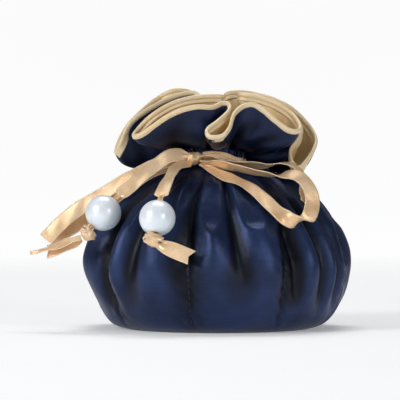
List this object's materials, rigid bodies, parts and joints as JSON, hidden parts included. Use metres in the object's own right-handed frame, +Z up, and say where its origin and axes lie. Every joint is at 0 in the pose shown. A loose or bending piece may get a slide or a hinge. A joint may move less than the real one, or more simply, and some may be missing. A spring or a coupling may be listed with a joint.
{
  "type": "drawstring gift pouch",
  "caption": "Round-bottomed satin drawstring pouch with a lined wavy mouth, a ribbon bow and bead-ended ties.",
  "frame": {"origin": "centre of the round base, on the surface that it rests on", "axes": "+Z up through the neck; the bow and the hanging beads face -Y; +X is to the right as the bow is looked at"},
  "size_m": [0.1261, 0.1079, 0.0967],
  "materials": {
    "navy_satin": "satin, deep navy, soft broad sheen",
    "gold_lining_satin": "satin lining, pale champagne gold",
    "gold_binding_satin": "bias-cut satin binding, pale champagne gold",
    "ribbon_satin": "double-faced woven satin ribbon, warm champagne",
    "navy_thread": "sewing thread, navy",
    "elastic": "covered elastic, off-white",
    "card": "grey-brown board stiffener",
    "pearl": "imitation pearl, cool white, glossy nacre coat"
  },
  "bodies": {
    "pouch": {"outer_shell": "navy_satin", "lining": "gold_lining_satin", "base_panel": "navy_satin", "base_board": "card", "base_lining": "gold_lining_satin", "pocket_ring": "gold_lining_satin", "pocket_elastic": "elastic", "pocket_seam_stitches": "navy_thread", "mouth_binding": "gold_binding_satin", "casing_stitch_upper": "navy_thread", "casing_stitch_lower": "navy_thread", "casing_ribbon": "ribbon_satin", "buttonhole_left": "navy_thread", "buttonhole_right": "navy_thread", "exit_strand_left": "ribbon_satin", "exit_strand_right": "ribbon_satin", "bow_knot": "ribbon_satin"},
    "right_loop": {"bow_loop_right_front": "ribbon_satin", "bow_loop_right_back": "ribbon_satin"},
    "left_loop": {"bow_loop_left": "ribbon_satin"},
    "left_tail": {"tail_left": "ribbon_satin", "stop_knot_left": "ribbon_satin", "tip_left_wide": "ribbon_satin", "tip_left_thin": "ribbon_satin"},
    "front_tail": {"tail_front": "ribbon_satin", "stop_knot_front": "ribbon_satin", "tip_front": "ribbon_satin"},
    "left_bead": {"bead_left": "pearl"},
    "front_bead": {"bead_front": "pearl"}
  },
  "joints": [
    {"name": "front_tail_swing", "type": "hinge", "parent": "pouch", "child": "front_tail", "pos_m": [-0.0096, -0.0162, 0.0676], "axis": [-0.8984, 0.4392, 0], "range_deg": [0, 40]},
    {"name": "left_tail_swing", "type": "hinge", "parent": "pouch", "child": "left_tail", "pos_m": [-0.0096, -0.0162, 0.0676], "axis": [0, 0, 1], "range_deg": [0, 8]},
    {"name": "right_loop_swing", "type": "hinge", "parent": "pouch", "child": "right_loop", "pos_m": [-0.0096, -0.0162, 0.0676], "axis": [0, 0, -1], "range_deg": [0, 20]},
    {"name": "left_loop_lift", "type": "hinge", "parent": "pouch", "child": "left_loop", "pos_m": [-0.0096, -0.0162, 0.0676], "axis": [-0.1498, 0.9887, 0], "range_deg": [0, 5]},
    {"name": "front_bead_slide", "type": "slide", "parent": "front_tail", "child": "front_bead", "axis": [0.1358, 0.4431, 0.8861], "range_m": [0, 0.002]},
    {"name": "left_bead_slide", "type": "slide", "parent": "left_tail", "child": "left_bead", "axis": [0.6484, 0.1863, 0.7381], "range_m": [0, 0.002]}
  ]
}
